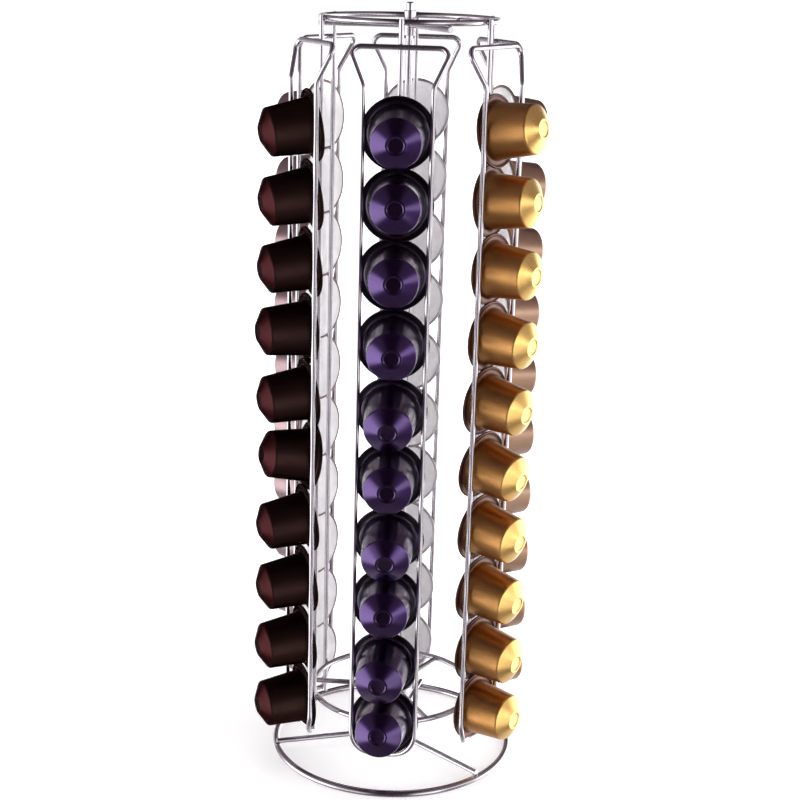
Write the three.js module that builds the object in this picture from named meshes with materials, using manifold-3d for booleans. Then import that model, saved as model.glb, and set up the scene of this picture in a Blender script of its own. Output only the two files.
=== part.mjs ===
// Revolving wire tower for sixty coffee capsules, in millimetres, +Z up.
// A round base carries a fixed pole. A wire carousel turns on the pole, and its six racks
// each hold a column of ten capsules by their flanges.
import * as THREE from 'three';
import * as BufferGeometryUtils from 'three/addons/utils/BufferGeometryUtils.js';
import Module from 'manifold-3d';

const wasm = await Module();
wasm.setup();

// Gaps and facets
const clearance = 0.3;
const weldTolerance = 0.0003;
const wireSides = 8;
const turnedSides = 18;

// Capsule
const flangeDiameter = 37;
const flangeThickness = 1.5;
const bodyDiameter = 28.8;
const shoulderDiameter = 23.6;
const shoulderDistance = 23.4;
const noseDiameter = 9.6;
const capsuleLength = 28.2;
const capsuleSides = 14;
const rimOverlap = 2.3;
const rimContact = 0.15;

// Columns, anticlockwise from the front as seen from above, with their capsule colours
const columns = [
  { name: 'violet', color: 0x2a1650 },
  { name: 'gold', color: 0xb98428 },
  { name: 'caramel', color: 0x8a6a50 },
  { name: 'silver', color: 0xa7a6ac },
  { name: 'rose', color: 0x9a7c76 },
  { name: 'cocoa', color: 0x2c1814 },
];
// Capsules of one column from the top down, each group one solid whose rims touch
const capsuleGroups = [[1], [2, 3], [4, 5], [6, 7], [8, 9, 10]];

// Carousel wires
const ringDiameter = 90.2;
const ringWire = 3;
const ringSegments = 32;
const spokeWire = 2.8;
const spokeCount = 3;
const backWire = 2.6;
const rackWire = 2.6;
const flangeLap = 2.8;
const channelDepth = 6.8;
const barWidth = 50.4;
const barCorner = 4.2;
const flareBend = 7.5;
const cradleBend = 4;
const cradleSteps = 7;
const bendSteps = 3;

// Heights, from the floor up
const cradleFloorGap = 16;
const ringAboveCradle = 16.6;
const flareRise = 4.2;
const liftRoom = 21;
const ringAboveBar = 11.4;
const spokeOverhang = 2.8;

// Hubs on the pole
const poleDiameter = 3.8;
const poleChamfer = 0.6;
const poleAboveRing = 8.2;
const poleFootGap = 1.4;
const sleeveDiameter = 6;
const sleeveAboveRing = 4;
const sleeveBelowSpoke = 3.8;
const hubDiameter = 22.6;
const hubThickness = 2.8;
const washerDiameter = 10.4;
const washerThickness = 0.8;
const collarDiameter = 8.4;
const collarHeight = 5.6;

// Base
const baseDiameter = 132;
const baseWire = 3.8;
const baseSegments = 48;
const legWire = 3;
const legCount = 3;
const legOverhang = 0.6;
const firstLegAngle = THREE.MathUtils.degToRad(-70.5);
const footHubDiameter = 11.2;
const footHubRise = 2.2;

// Worked out: radii from the pole's axis
const ringRadius = ringDiameter / 2;
const backWireRadius = ringRadius + ringWire / 2 + clearance + backWire / 2;
const barRadius = backWireRadius + backWire / 2 + clearance + rackWire / 2;
const sideRadius = backWireRadius + backWire / 2 + channelDepth + rackWire / 2;
const boreDiameter = poleDiameter + 2 * clearance;

// Worked out: the capsules tip nose down, so that each rim stands in front of the rim above it.
// Inside a group the rims touch. Each group stands a little further out than the one above it.
const fusedPitch = flangeDiameter - rimOverlap;
const loosePitch = fusedPitch + clearance;
const capsuleTilt = Math.asin((flangeThickness - rimContact) / fusedPitch);
const groupStep = rimContact + clearance;

// Worked out: the flange laps over the two side wires and leans on their backs
const flangeRadius = flangeDiameter / 2;
const sideHalf = flangeRadius + rackWire / 2 - flangeLap;
const leanHeight = Math.sqrt(flangeRadius ** 2 - (sideHalf - rackWire / 2) ** 2);
const lidRadius = sideRadius - rackWire / 2 - clearance
  - flangeThickness * Math.cos(capsuleTilt) - leanHeight * Math.sin(capsuleTilt);

// Worked out: heights
const cradleCenter = cradleFloorGap + rackWire / 2 + sideHalf;
const lowerRingHeight = cradleCenter - sideHalf + ringAboveCradle;
const firstCapsuleHeight = cradleCenter + seatRise();
const capsuleHeights = stackHeights();
const stackTop = Math.max(...capsuleHeights.values()) + flangeRadius;
const flareHeight = stackTop + flareRise;
const barHeight = stackTop + liftRoom + rackWire / 2;
const upperRingHeight = barHeight + ringAboveBar;
const upperSpokeHeight = upperRingHeight - ringWire / 2 - clearance - spokeWire / 2;
const poleTop = upperRingHeight + poleAboveRing;
const legHeight = baseWire + clearance + legWire / 2;

const chrome = new THREE.MeshStandardMaterial({ color: 0xd6d6da, roughness: 0.15, metalness: 1 });
const steel = new THREE.MeshStandardMaterial({ color: 0x9b9b9f, roughness: 0.4, metalness: 1 });

function cradlePoint(angle) {
  // The cradle is a half circle whose bottom bends in from the side wires to the back wire
  const inward = (sideRadius - barRadius) * Math.cos(angle) ** cradleBend;
  const x = sideHalf * Math.sin(angle);
  const z = cradleCenter - sideHalf * Math.cos(angle);
  return new THREE.Vector3(x, inward - sideRadius, z);
}

function rimDistance(point, height) {
  // Distance from a point to the flange of a capsule whose lid centre is at this height
  const away = -lidRadius - point.y;
  const up = point.z - height;
  const along = away * Math.cos(capsuleTilt) - up * Math.sin(capsuleTilt);
  const across = away * Math.sin(capsuleTilt) + up * Math.cos(capsuleTilt);
  const beyondFace = Math.max(-along, along - flangeThickness, 0);
  const beyondRim = Math.max(Math.hypot(point.x, across) - flangeRadius, 0);
  return Math.hypot(beyondFace, beyondRim);
}

function seatRise() {
  // How far above the cradle's centre the lowest capsule rests on its wire
  const samples = 90;
  const needed = rackWire / 2 + clearance;
  let low = 0;
  let high = sideHalf;
  for (let pass = 0; pass < samples; pass += 1) {
    const middle = (low + high) / 2;
    let nearest = Infinity;
    for (let step = 0; step <= samples; step += 1) {
      const point = cradlePoint((Math.PI / 2) * (step / samples));
      nearest = Math.min(nearest, rimDistance(point, cradleCenter + middle));
    }
    if (nearest < needed) low = middle;
    else high = middle;
  }
  return high;
}

function stackHeights() {
  // Height of each capsule, by its number from the top
  const heights = new Map();
  let height = firstCapsuleHeight;
  for (const group of [...capsuleGroups].reverse()) {
    for (const number of [...group].reverse()) {
      heights.set(number, height);
      height += number === group[0] ? loosePitch : fusedPitch;
    }
  }
  return heights;
}

function roundedCorner(before, corner, after, radius) {
  // The points of an arc that rounds one corner of a bent wire
  const inDirection = corner.clone().sub(before).normalize();
  const outDirection = after.clone().sub(corner).normalize();
  const turn = inDirection.angleTo(outDirection);
  const inset = radius * Math.tan(turn / 2);
  const start = corner.clone().addScaledVector(inDirection, -inset);
  const inner = outDirection.clone().addScaledVector(inDirection, -Math.cos(turn)).normalize();
  const center = start.clone().addScaledVector(inner, radius);
  const points = [];
  for (let step = 0; step <= bendSteps; step += 1) {
    const angle = turn * (step / bendSteps);
    const point = center.clone().addScaledVector(inner, -radius * Math.cos(angle));
    points.push(point.addScaledVector(inDirection, radius * Math.sin(angle)));
  }
  return points;
}

function rackPath() {
  // One closed loop: the cradle, a side wire, its flared arm, the bar, and the same mirrored
  const half = [];
  for (let step = 0; step <= cradleSteps; step += 1) {
    half.push(cradlePoint((Math.PI / 2) * (step / cradleSteps)));
  }
  const side = half[half.length - 1];
  const flare = new THREE.Vector3(sideHalf, -sideRadius, flareHeight);
  const corner = new THREE.Vector3(barWidth / 2, -barRadius, barHeight);
  const middle = new THREE.Vector3(0, -barRadius, barHeight);
  half.push(...roundedCorner(side, flare, corner, flareBend));
  half.push(...roundedCorner(flare, corner, middle, barCorner));
  const mirrored = half.slice(1).reverse().map((p) => new THREE.Vector3(-p.x, p.y, p.z));
  return [...half, ...mirrored];
}

function sweptLoop(points, radius, reference) {
  // A closed wire of round section. Its sections are turned to follow one reference direction.
  const positions = [];
  const index = [];
  const count = points.length;
  for (let i = 0; i < count; i += 1) {
    const before = points[(i + count - 1) % count];
    const after = points[(i + 1) % count];
    const inDirection = points[i].clone().sub(before).normalize();
    const outDirection = after.clone().sub(points[i]).normalize();
    const tangent = inDirection.add(outDirection).normalize();
    const first = reference.clone().addScaledVector(tangent, -reference.dot(tangent)).normalize();
    const second = tangent.clone().cross(first);
    for (let j = 0; j < wireSides; j += 1) {
      const angle = 2 * Math.PI * (j / wireSides);
      const point = points[i].clone().addScaledVector(first, radius * Math.cos(angle));
      positions.push(...point.addScaledVector(second, radius * Math.sin(angle)).toArray());
      const next = (j + 1) % wireSides;
      const ahead = (i + 1) % count;
      const a = i * wireSides + j;
      const b = i * wireSides + next;
      const c = ahead * wireSides + j;
      const d = ahead * wireSides + next;
      index.push(a, b, c, b, d, c);
    }
  }
  const geometry = new THREE.BufferGeometry();
  geometry.setAttribute('position', new THREE.Float32BufferAttribute(positions, 3));
  geometry.setIndex(index);
  return geometry;
}

function revolved(profile, segments) {
  // A profile of [radius, height] points turned about the Z axis
  const points = profile.map(([radius, height]) => new THREE.Vector2(radius, height));
  return new THREE.LatheGeometry(points, segments).rotateX(Math.PI / 2);
}

function wireRing(radius, wireRadius, segments) {
  // A ring of wire lying flat, with a flat of its section facing down
  const profile = [];
  for (let side = 0; side <= wireSides; side += 1) {
    const angle = (2 * Math.PI * (side + 1 / 2)) / wireSides;
    profile.push([radius + wireRadius * Math.cos(angle), wireRadius * Math.sin(angle)]);
  }
  profile[wireSides] = profile[0];
  return revolved(profile, segments);
}

function tube(outerDiameter, innerDiameter, bottom, top) {
  const outer = outerDiameter / 2;
  const inner = innerDiameter / 2;
  return revolved([[outer, bottom], [outer, top], [inner, top], [inner, bottom], [outer, bottom]],
    turnedSides);
}

function radialRod(diameter, innerRadius, outerRadius, height) {
  // A straight wire lying along a radius, towards -Y
  const length = outerRadius - innerRadius;
  const rod = new THREE.CylinderGeometry(diameter / 2, diameter / 2, length, wireSides);
  return rod.translate(0, -(innerRadius + outerRadius) / 2, height);
}

function uprightRod(diameter, bottom, top, radius) {
  const rod = new THREE.CylinderGeometry(diameter / 2, diameter / 2, top - bottom, wireSides);
  return rod.rotateX(Math.PI / 2).translate(0, -radius, (bottom + top) / 2);
}

function capsuleGeometry(height, setBack) {
  // Nose towards -Y and tipped down, lid facing the pole
  const profile = [
    [0, -capsuleLength],
    [noseDiameter / 2, -capsuleLength],
    [shoulderDiameter / 2, -shoulderDistance],
    [bodyDiameter / 2, -flangeThickness],
    [flangeRadius, -flangeThickness],
    [flangeRadius, 0],
    [0, 0],
  ];
  const points = profile.map(([radius, along]) => new THREE.Vector2(radius, along));
  const lathe = new THREE.LatheGeometry(points, capsuleSides);
  return lathe.rotateX(capsuleTilt).translate(0, setBack - lidRadius, height);
}

function solidOf(geometry) {
  const bare = geometry.clone();
  bare.deleteAttribute('normal');
  bare.deleteAttribute('uv');
  const merged = BufferGeometryUtils.mergeVertices(bare, weldTolerance);
  const mesh = new wasm.Mesh({
    numProp: 3,
    vertProperties: new Float32Array(merged.attributes.position.array),
    triVerts: closedTriangles(merged.index.array),
  });
  return new wasm.Manifold(mesh);
}

function closedTriangles(index) {
  // The triangles that are left where a profile meets the axis
  const kept = [];
  for (let i = 0; i < index.length; i += 3) {
    const [a, b, c] = [index[i], index[i + 1], index[i + 2]];
    if (a !== b && b !== c && c !== a) kept.push(a, b, c);
  }
  return new Uint32Array(kept);
}

function geometryOf(solid) {
  const mesh = solid.getMesh();
  const geometry = new THREE.BufferGeometry();
  geometry.setAttribute('position', new THREE.BufferAttribute(mesh.vertProperties, 3));
  geometry.setIndex(new THREE.BufferAttribute(mesh.triVerts, 1));
  return geometry;
}

function part(name, geometry, material) {
  const mesh = new THREE.Mesh(geometry, material);
  mesh.name = name;
  return mesh;
}

// Base: a ring on the floor, three legs on top of it, and the hub that holds the pole
function buildBase() {
  const base = new THREE.Group();
  const flatRadius = baseWire / 2 / Math.cos(Math.PI / wireSides);
  const ring = wireRing(baseDiameter / 2, flatRadius, baseSegments).translate(0, 0, baseWire / 2);
  base.add(part('base_ring', ring, chrome));
  for (let i = 0; i < legCount; i += 1) {
    const inner = footHubDiameter / 2 + clearance;
    const outer = baseDiameter / 2 + legOverhang;
    const leg = part(`base_leg_${i + 1}`, radialRod(legWire, inner, outer, legHeight), chrome);
    leg.rotation.z = firstLegAngle + (2 * Math.PI * i) / legCount;
    base.add(leg);
  }
  const hubTop = legHeight + legWire / 2 + footHubRise;
  base.add(part('base_hub', tube(footHubDiameter, boreDiameter, poleFootGap, hubTop), chrome));
  const r = poleDiameter / 2;
  const pole = revolved([[0, poleFootGap], [r, poleFootGap], [r, poleTop - poleChamfer],
    [r - poleChamfer, poleTop], [0, poleTop]], turnedSides);
  base.add(part('center_pole', pole, chrome));
  const washerTop = lowerRingHeight - hubThickness / 2 - clearance;
  const washerBottom = washerTop - washerThickness;
  const collarTop = washerBottom - clearance;
  base.add(part('thrust_washer',
    tube(washerDiameter, boreDiameter, washerBottom, washerTop), steel));
  base.add(part('stop_collar',
    tube(collarDiameter, boreDiameter, collarTop - collarHeight, collarTop), steel));
  return base;
}

// Carousel: two rings with spokes and hubs, six back wires and six racks
function buildCarousel() {
  const carousel = new THREE.Group();
  const ring = wireRing(ringRadius, ringWire / 2, ringSegments);
  carousel.add(part('lower_ring', ring.clone().translate(0, 0, lowerRingHeight), chrome));
  carousel.add(part('upper_ring', ring.clone().translate(0, 0, upperRingHeight), chrome));
  const hubHalf = hubThickness / 2;
  carousel.add(part('lower_hub',
    tube(hubDiameter, boreDiameter, lowerRingHeight - hubHalf, lowerRingHeight + hubHalf), steel));
  const sleeveBottom = upperSpokeHeight - spokeWire / 2 - sleeveBelowSpoke;
  carousel.add(part('upper_sleeve',
    tube(sleeveDiameter, boreDiameter, sleeveBottom, upperRingHeight + sleeveAboveRing), chrome));
  const betweenRacks = Math.PI / columns.length;
  for (let i = 0; i < spokeCount; i += 1) {
    const angle = betweenRacks + (2 * Math.PI * i) / spokeCount;
    const lower = radialRod(spokeWire, hubDiameter / 2 + clearance,
      ringRadius - ringWire / 2 - clearance, lowerRingHeight);
    const upper = radialRod(spokeWire, sleeveDiameter / 2 + clearance,
      ringRadius + spokeOverhang, upperSpokeHeight);
    const lowerSpoke = part(`lower_spoke_${i + 1}`, lower, chrome);
    const upperSpoke = part(`upper_spoke_${i + 1}`, upper, chrome);
    lowerSpoke.rotation.z = angle;
    upperSpoke.rotation.z = angle;
    carousel.add(lowerSpoke, upperSpoke);
  }
  const path = rackPath();
  const outward = new THREE.Vector3(0, -1, 0);
  columns.forEach((column, i) => {
    const bay = new THREE.Group();
    bay.rotation.z = (2 * Math.PI * i) / columns.length;
    const upright = uprightRod(backWire, cradleFloorGap, upperRingHeight + ringWire / 2,
      backWireRadius);
    bay.add(part(`back_wire_${column.name}`, upright, chrome));
    bay.add(part(`rack_${column.name}`, sweptLoop(path, rackWire / 2, outward), chrome));
    bay.add(buildColumn(column));
    carousel.add(bay);
  });
  return carousel;
}

// One column of capsules: the loose top one, and the rest in groups whose rims touch
function buildColumn(column) {
  const stack = new THREE.Group();
  const foil = new THREE.MeshStandardMaterial({ color: column.color, roughness: 0.35, metalness: 0.9 });
  capsuleGroups.forEach((group, order) => {
    const setBack = groupStep * (capsuleGroups.length - 1 - order);
    let solid = null;
    for (const number of group) {
      const capsule = solidOf(capsuleGeometry(capsuleHeights.get(number), setBack));
      solid = solid ? solid.add(capsule) : capsule;
    }
    const label = group.length > 1 ? `capsules_${column.name}_${group[0]}_to_${group.at(-1)}`
      : `capsule_${column.name}_${group[0]}`;
    stack.add(part(label, geometryOf(solid), foil));
  });
  return stack;
}

const tower = new THREE.Group();
tower.add(buildBase(), buildCarousel());

export default tower;
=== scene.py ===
import bpy
import math
from mathutils import Matrix, Vector


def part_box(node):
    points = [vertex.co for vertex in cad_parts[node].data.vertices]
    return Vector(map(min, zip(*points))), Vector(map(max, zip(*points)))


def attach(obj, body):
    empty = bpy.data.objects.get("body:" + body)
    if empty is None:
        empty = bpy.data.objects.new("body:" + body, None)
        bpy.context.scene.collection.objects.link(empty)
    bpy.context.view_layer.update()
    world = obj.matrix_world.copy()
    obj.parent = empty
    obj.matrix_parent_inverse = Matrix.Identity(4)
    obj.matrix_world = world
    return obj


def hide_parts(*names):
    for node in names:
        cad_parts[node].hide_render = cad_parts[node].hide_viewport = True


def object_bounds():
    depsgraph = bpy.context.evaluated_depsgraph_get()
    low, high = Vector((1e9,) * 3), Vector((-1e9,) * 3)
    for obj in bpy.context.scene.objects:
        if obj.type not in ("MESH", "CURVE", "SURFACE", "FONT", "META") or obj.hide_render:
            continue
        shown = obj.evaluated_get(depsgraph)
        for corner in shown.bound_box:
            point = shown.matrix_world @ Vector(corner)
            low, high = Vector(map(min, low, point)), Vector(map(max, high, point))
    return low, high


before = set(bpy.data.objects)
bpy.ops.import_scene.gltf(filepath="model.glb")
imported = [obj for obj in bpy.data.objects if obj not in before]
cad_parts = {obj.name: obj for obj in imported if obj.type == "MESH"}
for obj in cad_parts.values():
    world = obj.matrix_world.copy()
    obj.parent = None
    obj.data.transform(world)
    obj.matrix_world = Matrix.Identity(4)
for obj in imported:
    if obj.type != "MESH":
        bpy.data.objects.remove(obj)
cadBounds = [list(corner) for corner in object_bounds()]
print("frame loaded:", len(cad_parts), "nodes")

mm = 0.001
pi = math.pi


def linkObject(obj):
    bpy.context.scene.collection.objects.link(obj)
    return obj


def meshPiece(name, mesh, material, body, nodes=()):
    obj = linkObject(bpy.data.objects.new(name, mesh))
    mesh.name = name
    mesh.materials.clear()
    mesh.materials.append(material)
    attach(obj, body)
    if nodes:
        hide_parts(*nodes)
    return obj


def finishedMesh(obj):
    # The evaluated geometry as a plain mesh, without the object that made it
    graph = bpy.context.evaluated_depsgraph_get()
    mesh = bpy.data.meshes.new_from_object(obj.evaluated_get(graph))
    source = obj.data
    bpy.data.objects.remove(obj)
    if source.users == 0:
        (bpy.data.curves if isinstance(source, bpy.types.Curve) else bpy.data.meshes).remove(source)
    return mesh


def span(node):
    # A CAD node's lowest and highest point, in millimetres
    low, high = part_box(node)
    return low[2] / mm, high[2] / mm


def middle(node):
    low, high = span(node)
    return (low + high) / 2


def turned(degrees, point):
    # A point of the front bay, carried round the pole
    return Matrix.Rotation(math.radians(degrees), 3, "Z") @ Vector(point)


def bend(before, corner, after, radius, steps):
    # The rounded corner of a bent wire or of a profile
    into, out = (corner - before).normalized(), (after - corner).normalized()
    turn = into.angle(out)
    inset = radius * math.tan(turn / 2)
    inner = (out - into * math.cos(turn)).normalized()
    center = corner - into * inset + inner * radius
    return [center - inner * radius * math.cos(turn * s / steps) + into * radius * math.sin(turn * s / steps)
            for s in range(steps + 1)]


def softProfile(corners, steps):
    # Corners are (radius, height, rounding); the two ends stay sharp
    points = [tuple(corners[0][:2])]
    for before, corner, after in zip(corners, corners[1:], corners[2:]):
        if corner[2]:
            path = bend(Vector(before[:2]), Vector(corner[:2]), Vector(after[:2]), corner[2], steps)
            points += [tuple(point) for point in path]
        else:
            points.append(tuple(corner[:2]))
    return points + [tuple(corners[-1][:2])]


def arc(center, radius, start, end, steps):
    points = []
    for step in range(steps + 1):
        angle = math.radians(start + (end - start) * step / steps)
        points.append((center[0] + radius * math.cos(angle), center[1] + radius * math.sin(angle)))
    return points


def latheMesh(name, profile, count, axis="Z"):
    # A closed body: the profile's points are (radius, height), and its two ends lie on the axis
    # or meet each other. Its UV map runs around and along.
    closed = profile[0] == profile[-1]
    points = profile[:-1] if closed else profile
    run = [0.0]
    for (r0, h0), (r1, h1) in zip(profile, profile[1:]):
        run.append(run[-1] + math.hypot(r1 - r0, h1 - h0))
    verts, rows = [], []
    for radius, height in points:
        if radius == 0:
            rows.append([len(verts)])
            verts.append((0, 0, height))
            continue
        rows.append(list(range(len(verts), len(verts) + count)))
        for step in range(count):
            angle = 2 * pi * step / count
            verts.append((radius * math.cos(angle), radius * math.sin(angle), height))
    faces, uvs = [], []
    pairs = list(zip(range(len(rows)), range(1, len(rows)))) + ([(len(rows) - 1, 0)] if closed else [])
    for order, (low, high) in enumerate(pairs):
        v0, v1 = run[order] / run[-1], run[order + 1] / run[-1]
        for step in range(count):
            after = (step + 1) % count
            u0, u1 = step / count, (step + 1) / count
            a, b = rows[low][step % len(rows[low])], rows[low][after % len(rows[low])]
            c, d = rows[high][after % len(rows[high])], rows[high][step % len(rows[high])]
            if a == b:
                faces.append((a, c, d))
                uvs += [((u0 + u1) / 2, v0), (u1, v1), (u0, v1)]
            elif c == d:
                faces.append((a, b, c))
                uvs += [(u0, v0), (u1, v0), ((u0 + u1) / 2, v1)]
            else:
                faces.append((a, b, c, d))
                uvs += [(u0, v0), (u1, v0), (u1, v1), (u0, v1)]
    mesh = bpy.data.meshes.new(name)
    mesh.from_pydata([tuple(mm * part for part in vert) for vert in verts], [], faces)
    layer = mesh.uv_layers.new(name="finish")
    for index, uv in enumerate(uvs):
        layer.data[index].uv = uv
    mesh.shade_smooth()
    if axis == "-Y":
        mesh.transform(Matrix.Rotation(pi / 2, 4, "X"))
    return mesh


print("helpers ready")


def newTree(name, inputs):
    tree = bpy.data.node_groups.new(name, "GeometryNodeTree")
    tree.interface.new_socket("Geometry", in_out="INPUT", socket_type="NodeSocketGeometry")
    for label, kind, value in inputs:
        socket = tree.interface.new_socket(label, in_out="INPUT", socket_type=kind)
        if value is not None:
            socket.default_value = value
    tree.interface.new_socket("Geometry", in_out="OUTPUT", socket_type="NodeSocketGeometry")
    return tree, tree.nodes.new("NodeGroupInput"), tree.nodes.new("NodeGroupOutput")


def wireTree():
    tree, start, end = newTree("roundWire", [
        ("Radius", "NodeSocketFloat", 1.0), ("Sides", "NodeSocketInt", 16),
        ("Material", "NodeSocketMaterial", None)])
    section = tree.nodes.new("GeometryNodeCurvePrimitiveCircle")
    sweep = tree.nodes.new("GeometryNodeCurveToMesh")
    smooth = tree.nodes.new("GeometryNodeSetShadeSmooth")
    real = tree.nodes.new("GeometryNodeRealizeInstances")
    paint = tree.nodes.new("GeometryNodeSetMaterial")
    link = tree.links.new
    link(start.outputs["Sides"], section.inputs["Resolution"])
    link(start.outputs["Radius"], section.inputs["Radius"])
    link(start.outputs["Geometry"], sweep.inputs["Curve"])
    link(section.outputs["Curve"], sweep.inputs["Profile Curve"])
    sweep.inputs["Fill Caps"].default_value = True
    link(sweep.outputs["Mesh"], smooth.inputs["Geometry"])
    link(smooth.outputs["Geometry"], real.inputs["Geometry"])
    link(real.outputs["Geometry"], paint.inputs["Geometry"])
    link(start.outputs["Material"], paint.inputs["Material"])
    link(paint.outputs["Geometry"], end.inputs["Geometry"])
    return tree


def scatterTree():
    # Puts one copy of an object on each point, turned and scaled by the point's own values
    tree, start, end = newTree("setOut", [("Copy", "NodeSocketObject", None),
                                          ("Material", "NodeSocketMaterial", None)])
    source = tree.nodes.new("GeometryNodeObjectInfo")
    turn = tree.nodes.new("GeometryNodeInputNamedAttribute")
    turn.data_type = "FLOAT_VECTOR"
    turn.inputs["Name"].default_value = "turn"
    grow = tree.nodes.new("GeometryNodeInputNamedAttribute")
    grow.data_type = "FLOAT_VECTOR"
    grow.inputs["Name"].default_value = "grow"
    euler = tree.nodes.new("FunctionNodeEulerToRotation")
    place = tree.nodes.new("GeometryNodeInstanceOnPoints")
    real = tree.nodes.new("GeometryNodeRealizeInstances")
    paint = tree.nodes.new("GeometryNodeSetMaterial")
    link = tree.links.new
    link(start.outputs["Copy"], source.inputs["Object"])
    link(start.outputs["Geometry"], place.inputs["Points"])
    link(source.outputs["Geometry"], place.inputs["Instance"])
    link(turn.outputs["Attribute"], euler.inputs["Euler"])
    link(euler.outputs["Rotation"], place.inputs["Rotation"])
    link(grow.outputs["Attribute"], place.inputs["Scale"])
    link(place.outputs["Instances"], real.inputs["Geometry"])
    link(real.outputs["Geometry"], paint.inputs["Geometry"])
    link(start.outputs["Material"], paint.inputs["Material"])
    link(paint.outputs["Geometry"], end.inputs["Geometry"])
    return tree


def runTree(obj, tree, values):
    modifier = obj.modifiers.new(tree.name, "NODES")
    modifier.node_group = tree
    for item in tree.interface.items_tree:
        if item.in_out == "INPUT" and item.name in values:
            modifier[item.identifier] = values[item.name]
    return finishedMesh(obj)


roundWire = wireTree()
setOut = scatterTree()
print("geometry trees ready")


def shaderTree(name):
    material = bpy.data.materials.new(name)
    material.use_nodes = True
    nodes = material.node_tree.nodes
    nodes.clear()
    shader = nodes.new("ShaderNodeBsdfPrincipled")
    output = nodes.new("ShaderNodeOutputMaterial")
    material.node_tree.links.new(shader.outputs["BSDF"], output.inputs["Surface"])
    return material, material.node_tree, shader


def groupTree(name, inputs, outputs):
    tree = bpy.data.node_groups.new(name, "ShaderNodeTree")
    for label, kind, value in inputs:
        tree.interface.new_socket(label, in_out="INPUT", socket_type=kind).default_value = value
    for label, kind in outputs:
        tree.interface.new_socket(label, in_out="OUTPUT", socket_type=kind)
    return tree, tree.nodes.new("NodeGroupInput"), tree.nodes.new("NodeGroupOutput")


def mathNode(tree, kind, first, second=None, third=None):
    node = tree.nodes.new("ShaderNodeMath")
    node.operation = kind
    for index, value in enumerate((first, second, third)):
        if value is None:
            continue
        if isinstance(value, (int, float)):
            node.inputs[index].default_value = value
        else:
            tree.links.new(value, node.inputs[index])
    return node.outputs[0]


def mixColor(tree, factor, first, second, blend="MIX"):
    # A Mix node's factor is its socket 0, and its two colours are 6 and 7
    node = tree.nodes.new("ShaderNodeMix")
    node.data_type = "RGBA"
    node.blend_type = blend
    for socket, value in ((node.inputs[0], factor), (node.inputs[6], first), (node.inputs[7], second)):
        if isinstance(value, (int, float)):
            socket.default_value = value
        elif isinstance(value, tuple):
            socket.default_value = (*value, 1)
        else:
            tree.links.new(value, socket)
    return node.outputs[2]


def remap(tree, value, low, high, outLow, outHigh, smooth=False):
    node = tree.nodes.new("ShaderNodeMapRange")
    node.interpolation_type = "SMOOTHSTEP" if smooth else "LINEAR"
    node.inputs["From Min"].default_value = low
    node.inputs["From Max"].default_value = high
    node.inputs["To Min"].default_value = outLow
    node.inputs["To Max"].default_value = outHigh
    tree.links.new(value, node.inputs["Value"])
    return node.outputs["Result"]


def bump(tree, height, relief, shader):
    # Relief is a strength and a distance in metres
    node = tree.nodes.new("ShaderNodeBump")
    node.inputs["Strength"].default_value, node.inputs["Distance"].default_value = relief
    tree.links.new(height, node.inputs["Height"])
    tree.links.new(node.outputs["Normal"], shader.inputs["Normal"])


# Soft smudges and fine hairline scratches from handling, in the object's own coordinates
markLook = {"smudgeDetail": 4, "smudgeRough": 0.55, "scratchDetail": 2, "scratchStretch": (1, 1, 0.12),
            "scratchTurn": (0.21, 0.13, 0)}


def handlingMarks():
    tree, start, end = groupTree("handlingMarks", [
        ("Vector", "NodeSocketVector", (0, 0, 0)), ("Smudge Scale", "NodeSocketFloat", 60.0),
        ("Scratch Scale", "NodeSocketFloat", 900.0)],
        [("Smudge", "NodeSocketFloat"), ("Scratch", "NodeSocketFloat")])
    smudge = tree.nodes.new("ShaderNodeTexNoise")
    smudge.inputs["Detail"].default_value = markLook["smudgeDetail"]
    smudge.inputs["Roughness"].default_value = markLook["smudgeRough"]
    tree.links.new(start.outputs["Vector"], smudge.inputs["Vector"])
    tree.links.new(start.outputs["Smudge Scale"], smudge.inputs["Scale"])
    stretch = tree.nodes.new("ShaderNodeMapping")
    stretch.inputs["Scale"].default_value = markLook["scratchStretch"]
    stretch.inputs["Rotation"].default_value = markLook["scratchTurn"]
    tree.links.new(start.outputs["Vector"], stretch.inputs["Vector"])
    scratch = tree.nodes.new("ShaderNodeTexNoise")
    scratch.inputs["Detail"].default_value = markLook["scratchDetail"]
    tree.links.new(stretch.outputs["Vector"], scratch.inputs["Vector"])
    tree.links.new(start.outputs["Scratch Scale"], scratch.inputs["Scale"])
    tree.links.new(smudge.outputs["Fac"], end.inputs["Smudge"])
    tree.links.new(scratch.outputs["Fac"], end.inputs["Scratch"])
    return tree


marks = handlingMarks()


def addMarks(tree, coordinates, look):
    node = tree.nodes.new("ShaderNodeGroup")
    node.node_tree = marks
    tree.links.new(coordinates, node.inputs["Vector"])
    for label, key in (("Smudge Scale", "smudges"), ("Scratch Scale", "scratches")):
        if key in look:
            node.inputs[label].default_value = look[key]
    return node.outputs["Smudge"], node.outputs["Scratch"]


# Bright plating: its clear and hazy colours, its roughness, and how fine and deep its marks are
chromeLook = {"color": (0.53, 0.50, 0.535), "haze": (0.44, 0.415, 0.45), "hazeFrom": (0.5, 0.72),
              "polish": (0.13, 0.24), "polishFrom": (0.35, 0.7), "smudgeShare": 0.7, "scratchShare": 0.3,
              "smudges": 70, "scratches": 1400, "relief": (0.01, 0.0001)}


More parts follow.
